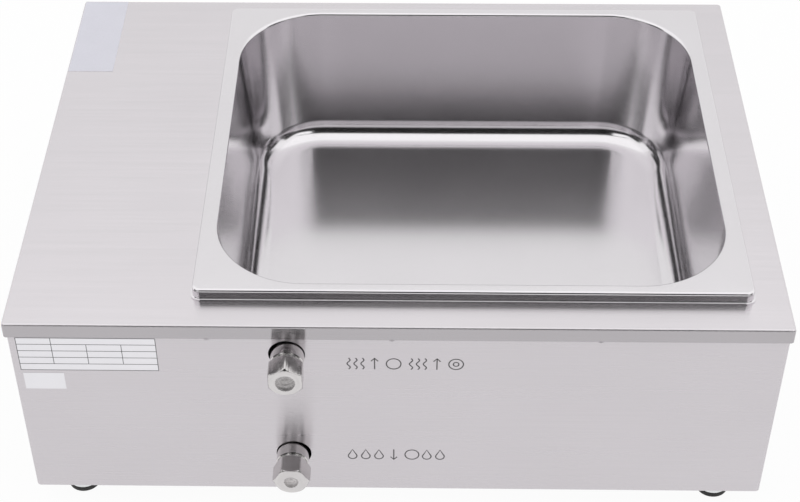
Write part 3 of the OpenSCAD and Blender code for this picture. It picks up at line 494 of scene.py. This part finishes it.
# %% Build the sweep tree
sweep_tree, given = new_tree("sweep_round_rectangle", {
    "Length": 0.3, "Width": 0.2, "Corner Radius": 0.05, "Corner Steps": 24,
    "Material": "NodeSocketMaterial",
})
plan = add(sweep_tree, "GeometryNodeCurvePrimitiveQuadrilateral", {
    "Width": given["Length"], "Height": given["Width"],
})
rounded = add(sweep_tree, "GeometryNodeFilletCurve", {
    "Curve": plan.outputs[0], "Radius": given["Corner Radius"], "Count": given["Corner Steps"],
}, mode="POLY")
profile = add(sweep_tree, "GeometryNodeMeshToCurve", {0: given["Geometry"]})
swept = add(sweep_tree, "GeometryNodeCurveToMesh", {
    "Curve": rounded.outputs[0], "Profile Curve": profile.outputs[0],
})
end_tree(sweep_tree, swept, given["Material"])

# %% Run a tree and keep its result as a plain mesh
def keep_result(piece):
    """Keeps what the modifiers make, and takes the modifiers away."""
    bpy.context.view_layer.update()
    ready = piece.evaluated_get(bpy.context.evaluated_depsgraph_get())
    mesh = bpy.data.meshes.new_from_object(ready)
    piece.modifiers.clear()
    piece.data = mesh
    return piece


def grow(name, tree, base, **sizes):
    made = new_object(name, base)
    modifier = made.modifiers.new("grow", "NODES")
    modifier.node_group = tree
    named = {item.name.replace(" ", "_"): item.identifier for item in tree.interface.items_tree}
    for label, value in sizes.items():
        modifier[named[label]] = value
    return keep_result(made)


# %% Draw a profile and sweep it
def profile_mesh(*lines):
    """Each line is a list of (outset, height) in millimetres. The tree takes depth: -height."""
    points, edges = [], []
    for line in lines:
        start = len(points)
        points += [(outset * MM, -height * MM, 0) for outset, height in line]
        edges += [(start + i, start + i + 1) for i in range(len(line) - 1)]
    mesh = bpy.data.meshes.new("profile")
    mesh.from_pydata(points, edges, [])
    return mesh


def arc(outset, height, radius, start, end, steps=10):
    turns = [math.radians(start + (end - start) * i / steps) for i in range(steps + 1)]
    return [(outset + radius * math.cos(a), height + radius * math.sin(a)) for a in turns]


def sweep(name, lines, size, middle, corner, steps, material):
    """size is the length and the width round which the profile runs, in millimetres."""
    made = grow(
        name, sweep_tree, profile_mesh(*lines), Length=size[0] * MM, Width=size[1] * MM,
        Corner_Radius=corner * MM, Corner_Steps=steps, Material=material,
    )
    made.data.transform(Matrix.Translation(housing(middle.x, middle.y, 0)))
    return made


# %% Join the sweeps, fill their flats and smooth the bends
WELD, LEVEL_PLAY = 0.00001, 0.000002


def joined(name, pieces, flats=()):
    """One mesh of several pieces. flats are heights in millimetres whose open edges are filled."""
    whole = bmesh.new()
    for piece in pieces:
        whole.from_mesh(piece.data)
    bmesh.ops.remove_doubles(whole, verts=whole.verts, dist=WELD)
    for height in flats:
        level = {v for v in whole.verts if abs(v.co.z - height * MM) < LEVEL_PLAY}
        rim = [e for e in whole.edges if e.is_boundary and level.issuperset(e.verts)]
        bmesh.ops.triangle_fill(whole, use_beauty=True, use_dissolve=False, edges=rim)
    bmesh.ops.recalc_face_normals(whole, faces=whole.faces)
    mesh = bpy.data.meshes.new(name)
    for material in pieces[0].data.materials:
        mesh.materials.append(material)
    whole.to_mesh(mesh)
    open_edges = sum(e.is_boundary for e in whole.edges)
    whole.free()
    for piece in pieces:
        bpy.data.objects.remove(piece)
    print(name, len(mesh.polygons), "faces,", open_edges, "open edges")
    return new_object(name, mesh)


def smooth(piece, angle=30):
    """Smooth bends, sharp folds, and flats that stay flat: the larger face decides the normal."""
    piece.data.shade_smooth()
    piece.data.set_sharp_from_angle(angle=math.radians(angle))
    piece.modifiers.new("flats", "WEIGHTED_NORMAL").keep_sharp = True
    return keep_result(piece)


# %% Give a finished piece the place of its CAD node
SLOTS = {row["node"]: row["material_slot"] for row in frame["record"]["subparts"]}
shown = set()


def seat(piece, node):
    """The piece moves with its node's body and stands for it."""
    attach(piece, frame["nodes"][node]["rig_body"])
    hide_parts(node)
    shown.add(node)
    return piece


# %% [markdown]
# ## The pan
#
# A deep pan is drawn from one disc of sheet: a punch pushes it through a die, so every
# wall leans by the same draft, every corner is round, and the floor meets the wall in a
# generous fillet. The rim is then turned down and trimmed to a small lip, which rests on
# the cover. Two sweeps give exactly that: one round the mouth for the bowl, and one
# round the outer edge for the turned rim, whose corners are far tighter.

# %% The pan's sizes
cover_box, pan_box = measured("top_cover"), measured("food_pan")
PAN_T, DRAFT, RIM_SIDE, RIM_END, LIP = 0.8, 5, 11.25, 8.75, 1.2
FLOOR_R, MOUTH_R, RIM_R, LIP_R = 14, 2, 1.8, 0.6
MOUTH_CORNER_R, RIM_CORNER_R = 53.5, 5
floor_z, rim_z, lip_z = pan_box.low.z, pan_box.high.z, cover_box.high.z
mouth = (pan_box.size.x - 2 * RIM_SIDE, pan_box.size.y - 2 * RIM_END)


def beside_wall(height, distance):
    """Outset at a height, so far out from the inner face of the leaning wall."""
    lean = math.radians(DRAFT)
    return (distance + (height - rim_z) * math.sin(lean)) / math.cos(lean)


print("mouth", [round(v, 2) for v in mouth], "mm, depth", round(rim_z - floor_z, 2), "mm")

# %% Sweep the bowl and the turned rim
floor_bend = (beside_wall(floor_z + PAN_T + FLOOR_R, -FLOOR_R), floor_z + PAN_T + FLOOR_R)
mouth_bend = (beside_wall(rim_z - MOUTH_R, MOUTH_R), rim_z - MOUTH_R)
inside = (
    arc(*floor_bend, FLOOR_R, -90, -DRAFT, steps=14)
    + arc(*mouth_bend, MOUTH_R, 180 - DRAFT, 90)
)
outside = (
    arc(*mouth_bend, MOUTH_R - PAN_T, 90, 180 - DRAFT)
    + arc(*floor_bend, FLOOR_R + PAN_T, -DRAFT, -90, steps=14)
)
rim_bend = (-RIM_R, rim_z - RIM_R)
lip_bend = (LIP_R, lip_z + PAN_T + LIP_R)
turned_edge = (
    arc(*rim_bend, RIM_R, 90, 0, steps=8)
    + arc(*lip_bend, LIP_R, 180, 270, steps=5)
    + [(LIP, lip_z + PAN_T), (LIP, lip_z)]
    + arc(*lip_bend, LIP_R + PAN_T, 270, 180, steps=5)
    + arc(*rim_bend, RIM_R - PAN_T, 0, 90, steps=8)
)
within_lip = [size - 2 * LIP for size in pan_box.size.xy]
bowl = sweep(
    "bowl", [inside, outside], mouth, pan_box.middle, MOUTH_CORNER_R, steps=40, material=pan_steel,
)
rim = sweep(
    "turned_rim", [turned_edge], within_lip, pan_box.middle, RIM_CORNER_R, steps=12, material=pan_steel,
)
pan = joined("pan_skin", [bowl, rim], flats=(floor_z + PAN_T, floor_z, rim_z, rim_z - PAN_T))
seat(smooth(pan), "food_pan")

# %% [markdown]
# ## The cover and the casing
#
# The cover is a shallow tray of 1 mm sheet, folded down all round, with a cut-out for the
# bath. It slips over the casing, a plain wrap whose holes take the sockets, the controls
# and the mains inlet. The same tree sweeps both; the holes are cut with bars and blocks.

# %% Sweep the cover and cut it out for the bath
SHEET_T, COVER_BEND_R, COVER_CORNER_R, CHAMFER = 1, 1.5, 2.2, 0.2
TANK_GAP, TANK_CORNER_R = 3, 20
skirt_z, top_z = cover_box.low.z, cover_box.high.z
fold = (-COVER_BEND_R, top_z - COVER_BEND_R)
tray = (
    arc(*fold, COVER_BEND_R, 90, 0, steps=8)
    + [(0, skirt_z + CHAMFER), (-CHAMFER, skirt_z)]
    + [(CHAMFER - SHEET_T, skirt_z), (-SHEET_T, skirt_z + CHAMFER)]
    + arc(*fold, COVER_BEND_R - SHEET_T, 0, 90, steps=6)
)
edge = sweep(
    "cover_edge", [tray], cover_box.size, cover_box.middle, COVER_CORNER_R, steps=8,
    material=cover_steel,
)
bath_size = [size + 2 * (PAN_T + TANK_GAP) for size in mouth]
opening = sweep(
    "cut_edge", [[(0, top_z - SHEET_T), (0, top_z)]], bath_size, pan_box.middle, TANK_CORNER_R,
    steps=16, material=cover_steel,
)
cover = joined("cover_skin", [edge, opening], flats=(top_z, top_z - SHEET_T))
seat(smooth(cover), "top_cover")

# %% Sweep the casing
CASING_BEND_R, CASING_CORNER_R, FLANGE = 0.8, 2.5, 12
casing_box = measured("casing")
low, high = casing_box.low.z, casing_box.high.z
channel = (
    [(-FLANGE, high)]
    + arc(-CASING_BEND_R, high - CASING_BEND_R, CASING_BEND_R, 90, 0, steps=5)
    + arc(-CASING_BEND_R, low + CASING_BEND_R, CASING_BEND_R, 0, -90, steps=5)
    + [(-FLANGE, low), (-FLANGE, low + SHEET_T), (-SHEET_T, low + SHEET_T)]
    + [(-SHEET_T, high - SHEET_T), (-FLANGE, high - SHEET_T), (-FLANGE, high)]
)
wrap = sweep(
    "wrap", [channel], casing_box.size, casing_box.middle, CASING_CORNER_R, steps=8,
    material=housing_steel,
)
casing = joined("casing_skin", [wrap])


# %% Cutters, all added to one tool
def bar(tool, centre, radius, length, sides):
    """A round cutter along Y, in housing millimetres."""
    place = Matrix.Translation(housing(*centre)) @ Matrix.Rotation(math.pi / 2, 4, "X")
    bmesh.ops.create_cone(
        tool, cap_ends=True, segments=sides, radius1=radius * MM, radius2=radius * MM,
        depth=length * MM, matrix=place,
    )


def block(tool, centre, size):
    """A box by its middle and its size. Gives back its vertices."""
    place = Matrix.Translation(housing(*centre)) @ Matrix.Diagonal((*[s * MM for s in size], 1))
    return bmesh.ops.create_cube(tool, size=1, matrix=place)["verts"]


def cut(piece, tool):
    mesh = bpy.data.meshes.new("cutters")
    tool.to_mesh(mesh)
    tool.free()
    cutter = new_object("tool", mesh)
    modifier = piece.modifiers.new("cut", "BOOLEAN")
    modifier.operation, modifier.object, modifier.solver = "DIFFERENCE", cutter, "EXACT"
    modifier.use_self = True
    keep_result(piece)
    bpy.data.objects.remove(cutter)
    return piece


# %% Cut the casing's holes
THROUGH, SOCKET_ROOM, SOCKET_DRIFT = 8, 0.9, 0.5
THERMOSTAT_HOLE, SWITCH_HOLE, LAMP_HOLE_R, INLET_HOLE = (71, 29), (22.1, 30), 5.25, (28.1, 20.1)
front_y, back_y = casing_box.low.y, casing_box.high.y
holes = bmesh.new()
for node, drift in (("exhaust_socket", -SOCKET_DRIFT), ("drain_socket", SOCKET_DRIFT)):
    socket = measured(node)
    centre = (socket.middle.x + drift, front_y, socket.middle.z + SOCKET_DRIFT / 2)
    bar(holes, centre, socket.size.x / 2 + SOCKET_ROOM, THROUGH, sides=96)
for node, (wide, tall) in (("thermostat_case", THERMOSTAT_HOLE), ("switch_body", SWITCH_HOLE)):
    middle = measured(node).middle
    block(holes, (middle.x, back_y, middle.z), (wide, THROUGH, tall))
lamp = measured("lamp_body").middle
bar(holes, (lamp.x, back_y, lamp.z), LAMP_HOLE_R, THROUGH, sides=48)
inlet = measured("inlet_body").middle
block(holes, (casing_box.low.x, inlet.y, inlet.z), (THROUGH, *INLET_HOLE))
seat(smooth(cut(casing, holes)), "casing")
print("casing with its holes:", len(casing.data.polygons), "faces")

# %% [markdown]
# ## Turned pieces
#
# The two sockets come from a lathe, so they are a profile turned round an axis. One tree
# does that: the base mesh is the profile as radius and height, and the tree turns it and
# merges the points that meet.

# %% Build the lathe tree
lathe_tree, given = new_tree("turn_on_lathe", {
    "Steps": 96, "Reference": 0.01, "Material": "NodeSocketMaterial",
})
circle = add(lathe_tree, "GeometryNodeCurvePrimitiveCircle", {
    "Resolution": given["Steps"], "Radius": given["Reference"],
})
outline = add(lathe_tree, "GeometryNodeMeshToCurve", {0: given["Geometry"]})
turned = add(lathe_tree, "GeometryNodeCurveToMesh", {
    "Curve": circle.outputs[0], "Profile Curve": outline.outputs[0],
})
closed = add(lathe_tree, "GeometryNodeMergeByDistance", {
    "Geometry": turned.outputs[0], "Distance": 0.000004,
})
end_tree(lathe_tree, closed, given["Material"])

REFERENCE, TURN_STEPS = 10, 96


def turn(name, points, material):
    """points are (radius, height) in millimetres. The axis is Z, through the origin."""
    base = profile_mesh([(radius - REFERENCE, height) for radius, height in points])
    made = grow(
        name, lathe_tree, base, Steps=TURN_STEPS, Reference=REFERENCE * MM, Material=material,
    )
    whole = bmesh.new()
    whole.from_mesh(made.data)
    bmesh.ops.recalc_face_normals(whole, faces=whole.faces)
    whole.to_mesh(made.data)
    whole.free()
    return made


# %% Turn the two sockets
FRONT = Matrix.Rotation(math.pi / 2, 4, "X")
BORE_R, SOCKET_EDGE = 6.6, 0.5
for node in ("exhaust_socket", "drain_socket"):
    box = measured(node)
    radius, length = box.size.x / 2, box.size.y
    socket = turn(f"{node}_skin", [
        (BORE_R, 0), (radius, 0), (radius, length - SOCKET_EDGE), (radius - SOCKET_EDGE, length),
        (BORE_R, length), (BORE_R, 0),
    ], finishes["valve_steel"])
    inner_end = housing(box.middle.x, box.high.y, box.middle.z)
    socket.data.transform(Matrix.Translation(inner_end) @ FRONT)
    seat(smooth(socket), node)
    print(node, len(socket.data.polygons), "faces, length", round(length, 2), "mm")

# %% [markdown]
# ## Smooth copies of the small pieces
#
# Every other piece keeps the exact shape of the CAD model, so it is a merged copy of its
# node. Bends are shaded smooth and folds stay sharp. The finish comes from the slot that
# the record gives the node. A few copies get more: the plugs a rough recess, and the
# screw heads a cross recess for the driver.

# %% Copy a CAD node, merge it and give it its finish
SAME_POINT, COPY_FOLD = 0.000002, 35


def copy_of(node):
    whole = bmesh.new()
    whole.from_mesh(frame["nodes"][node].data)
    bmesh.ops.remove_doubles(whole, verts=whole.verts, dist=SAME_POINT)
    mesh = bpy.data.meshes.new(f"{node}_skin")
    whole.to_mesh(mesh)
    whole.free()
    mesh.materials.clear()
    mesh.materials.append(finishes[SLOTS[node]])
    return new_object(f"{node}_skin", mesh)


# %% The two plugs, with a rough recess in the face
RECESS_FROM, RECESS_TO, RECESS_PLAY = 0.3, 2, 0.05


def plug_skin(node, recess_r):
    """Faces of the recess lie near the axis, a little behind the plug's outer end."""
    piece = smooth(copy_of(node), COPY_FOLD)
    piece.data.materials.append(recess_steel)
    box = measured(node)
    end = housing(box.middle.x, box.low.y, box.middle.z)
    reach = (recess_r + RECESS_PLAY) * MM
    recess = [
        face for face in piece.data.polygons
        if math.hypot(face.center.x - end.x, face.center.z - end.z) < reach
        and RECESS_FROM * MM < face.center.y - end.y < RECESS_TO * MM
    ]
    for face in recess:
        face.material_index = 1
    print(node, len(recess), "faces in the recess")
    return seat(piece, node)


plug_skin("exhaust_plug", recess_r=5.5)
plug_skin("drain_plug", recess_r=4.1)

# %% Screws with a cross recess
DRIVE_DEPTH, SCREW_EDGE, FOOT_INSET_X, FOOT_INSET_Y = 1.6, 5, 27, 20
ROW_SHARES = (-0.3, 0, 0.3)
base_x, base_y = (half - SCREW_EDGE for half in measured("base_plate").high.xy)
base_places = [(cover_box.size.x * share, y) for share in ROW_SHARES for y in (-base_y, base_y)]
base_places += [(-base_x, 0), (base_x, 0)]
foot_x, foot_y = cover_box.high.x - FOOT_INSET_X, cover_box.high.y - FOOT_INSET_Y
foot_places = [(x, y) for x in (-foot_x, foot_x) for y in (-foot_y, foot_y)]
for node, places, size in (("base_screws", base_places, 3.2), ("foot_screws", foot_places, 4.6)):
    heads_z = measured(node).low.z
    drives = bmesh.new()
    for x, y in places:
        block(drives, (x, y, heads_z), (size, size / 4, DRIVE_DEPTH))
        block(drives, (x, y, heads_z), (size / 4, size, DRIVE_DEPTH))
    piece = seat(smooth(cut(copy_of(node), drives), COPY_FOLD), node)
    print(node, len(piece.data.polygons), "faces with the drives cut")

# %% All the other pieces
rest = [node for node in frame["nodes"] if node not in shown]
for node in rest:
    seat(smooth(copy_of(node), COPY_FOLD), node)
print("copied", len(rest), "more pieces")

# %% [markdown]
# ## Marks and labels
#
# Marks are strokes of one width along a path, so a small tree draws them: the base mesh
# is the path, and a flat profile runs along it. No words are copied. The etched places
# on the front show plain pictograms, steam and drops. The keys show arrows, a ring and
# the usual sign for power, and the rocker shows a bar and a ring. The rating label is
# ruled but blank, and the small label and the sticker on the cover are bare.

# %% Build the stroke tree
stroke_tree, given = new_tree("draw_strokes", {
    "Stroke": 0.001, "Height": 0.0001, "Material": "NodeSocketMaterial",
})
flat = add(stroke_tree, "GeometryNodeCurvePrimitiveQuadrilateral", {
    "Width": given["Stroke"], "Height": given["Height"],
})
path = add(stroke_tree, "GeometryNodeMeshToCurve", {0: given["Geometry"]})
line = add(stroke_tree, "GeometryNodeCurveToMesh", {
    "Curve": path.outputs[0], "Profile Curve": flat.outputs[0], "Fill Caps": True,
})
end_tree(stroke_tree, line, given["Material"])

# %% Draw strokes on a panel
BACK = Matrix.Rotation(math.pi, 4, "Z") @ FRONT
STROKE_HEIGHT = 0.06


def strokes(name, lines, width, place, facing, material, body):
    """lines are paths in a panel's plane, in millimetres. One that ends at its start is closed."""
    points, edges = [], []
    for line in lines:
        start, closed = len(points), line[0] == line[-1]
        points += [(u * MM, v * MM, 0) for u, v in (line[:-1] if closed else line)]
        last = len(points) - 1
        edges += [(i, i + 1) for i in range(start, last)] + ([(last, start)] if closed else [])
    base = bpy.data.meshes.new("path")
    base.from_pydata(points, edges, [])
    made = grow(
        name, stroke_tree, base, Stroke=width * MM, Height=STROKE_HEIGHT * MM, Material=material,
    )
    made.data.transform(Matrix.Translation(housing(*place)) @ facing)
    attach(made, body)
    print(name, len(lines), "strokes")
    return made


def ring(u, v, radius, start=0, end=360, steps=32):
    path = arc(u, v, radius, start, end, steps)
    return path[:-1] + [path[0]] if end - start == 360 else path


# %% Etched pictograms beside the valves
TALL, RING_R, DOT_R, DROP_R, DROP_V, ETCHED = 9, 4.2, 1.6, 2.6, -1.5, 0.75
SWAY, WAVE_STEPS, BARB_U, BARB_V, DROP_TOP = 0.9, 24, 2, 2.4, 2.2
STEAM_Z, WATER_Z = 125.7, 47.5


def wave(u):
    """One and a half turns of a sine, standing on end."""
    shares = [i / WAVE_STEPS for i in range(WAVE_STEPS + 1)]
    return [(u + SWAY * math.sin(3 * math.pi * share), TALL * (share - 0.5)) for share in shares]


def arrow(u, way):
    tip = way * TALL / 2
    barb = tip - way * BARB_V
    return [[(u, -tip), (u, tip)], [(u - BARB_U, barb), (u, tip), (u + BARB_U, barb)]]


def drop(u):
    top = (u, DROP_V + DROP_TOP * DROP_R)
    return [top] + ring(u, DROP_V, DROP_R, 40, -220, steps=20) + [top]


steam = [wave(u) for u in (-28, -24, -20)] + arrow(-13, 1) + [ring(-2, 0, RING_R)]
steam += [wave(u) for u in (8, 12, 16)] + arrow(23, 1) + [ring(34, 0, RING_R), ring(34, 0, DOT_R)]
water = [drop(u) for u in (-27, -19, -11)] + arrow(-2, -1) + [ring(9, 0, RING_R), drop(18), drop(26)]
strokes("etched_steam", steam, ETCHED, (0, front_y, STEAM_Z), FRONT, etching, body="housing")
strokes("etched_drop", water, ETCHED, (0, front_y, WATER_Z), FRONT, etching, body="housing")

# %% Symbols on the keys
symbols = {
    "key_set": [ring(0, 0, 1.3)],
    "key_up": [[(-1.5, -0.8), (0, 0.9), (1.5, -0.8)]],
    "key_power": [ring(0, -0.1, 1.5, 125, 415), [(0, 0.4), (0, 2)]],
    "key_down": [[(-1.5, 0.8), (0, -0.9), (1.5, 0.8)]],
}
KEY_STROKE, ROCKER_STROKE = 0.5, 0.8
for node, lines in symbols.items():
    key = measured(node)
    place = (key.middle.x, key.high.y, key.middle.z)
    strokes(f"{node}_mark", lines, KEY_STROKE, place, BACK, mark_white, body=node)

# %% The bar and the ring on the rocker
ROCKER_TILT, ROCKER_PEAK, ROCKER_AXIS, MARK_OUT = math.radians(9), 5.2, 4, 7.5
switch = measured("switch_body").middle
place = (switch.x, back_y, switch.z)
pivot = BACK @ Matrix.Translation((0, 0, -ROCKER_AXIS * MM)) @ Matrix.Rotation(ROCKER_TILT, 4, "X")
for side, word, lines in ((1, "bar", [[(0, -2.6), (0, 2.6)]]), (-1, "ring", [ring(0, 0, 2.3)])):
    top = Vector((0, side * MARK_OUT, ROCKER_PEAK + MARK_OUT * math.tan(ROCKER_TILT))) * MM
    facing = pivot @ Matrix.Translation(top) @ Matrix.Rotation(side * ROCKER_TILT, 4, "X")
    strokes(f"rocker_{word}", lines, ROCKER_STROKE, place, facing, mark_white, body="switch_rocker")

# %% Digits, labels and the sticker are plain thin boxes
def boxes(name, materials, rows):
    """rows are (material number, x0, x1, y0, y1, z0, z1) in housing millimetres."""
    whole = bmesh.new()
    for number, x0, x1, y0, y1, z0, z1 in rows:
        middle = ((x0 + x1) / 2, (y0 + y1) / 2, (z0 + z1) / 2)
        corners = block(whole, middle, (x1 - x0, y1 - y0, z1 - z0))
        for face in {face for corner in corners for face in corner.link_faces}:
            face.material_index = number
    mesh = bpy.data.meshes.new(name)
    whole.to_mesh(mesh)
    whole.free()
    for material in materials:
        mesh.materials.append(material)
    made = new_object(name, mesh)
    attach(made, "housing")
    print(name, len(rows), "boxes")
    return made


# %% The digits behind the window
DIGIT_PITCH, DIGIT_T = 11, 0.06
LYING, STANDING = (2.7, 0.5), (0.5, 2.4)
SEGMENTS = {
    "a": (0, 6, LYING), "b": (3.5, 3, STANDING), "c": (3.5, -3, STANDING), "d": (0, -6, LYING),
    "e": (-3.5, -3, STANDING), "f": (-3.5, 3, STANDING), "g": (0, 0, LYING),
}
display = measured("display_module")
face_y = display.high.y
digits = []
for place, lit in enumerate(("bcfg", "acdfg", "abcdef")):
    for name in lit:
        u, v, (wide, tall) = SEGMENTS[name]
        x, z = display.middle.x - ((place - 1) * DIGIT_PITCH + u), display.middle.z + v
        digits.append((0, x - wide, x + wide, face_y, face_y + DIGIT_T, z - tall, z + tall))
boxes("display_digits", [segment], digits)

# %% The labels on the front and the sticker on the cover
LABEL_T, INK_T, RULE = 0.1, 0.03, 0.35
RATING, SMALL = (-218.7, -138.2, 118.5, 144.7), (-217.8, -194, 102.9, 116.1)
STICKER = (-224, -194, 80, 164)


def plate(x0, x1, z0, z1):
    return (0, x0, x1, front_y - LABEL_T, front_y, z0, z1)


def ruled(x0, x1, z0, z1, rows, columns):
    """A pale plate with a dark frame and rules, and nothing written on it."""
    face = front_y - LABEL_T
    half, step = RULE / 2, (z1 - z0) / rows
    parts = [plate(x0, x1, z0, z1)]
    for i in range(rows + 1):
        z = min(max(z0 + step * i, z0 + half), z1 - half)
        parts.append((1, x0, x1, face - INK_T, face, z - half, z + half))
    for i in range(columns + 1):
        x = min(max(x0 + (x1 - x0) * i / columns, x0 + half), x1 - half)
        high = z1 if i in (0, 1, columns) else z1 - step
        low = z0 if i in (0, columns) else z0 + step
        parts.append((1, x - half, x + half, face - INK_T, face, low, high))
    return parts


boxes("rating_label", [foil, ink], ruled(*RATING, rows=5, columns=4))
boxes("small_label", [card], [plate(*SMALL)])
boxes("cover_sticker", [paper], [(0, *STICKER, top_z, top_z + LABEL_T)])
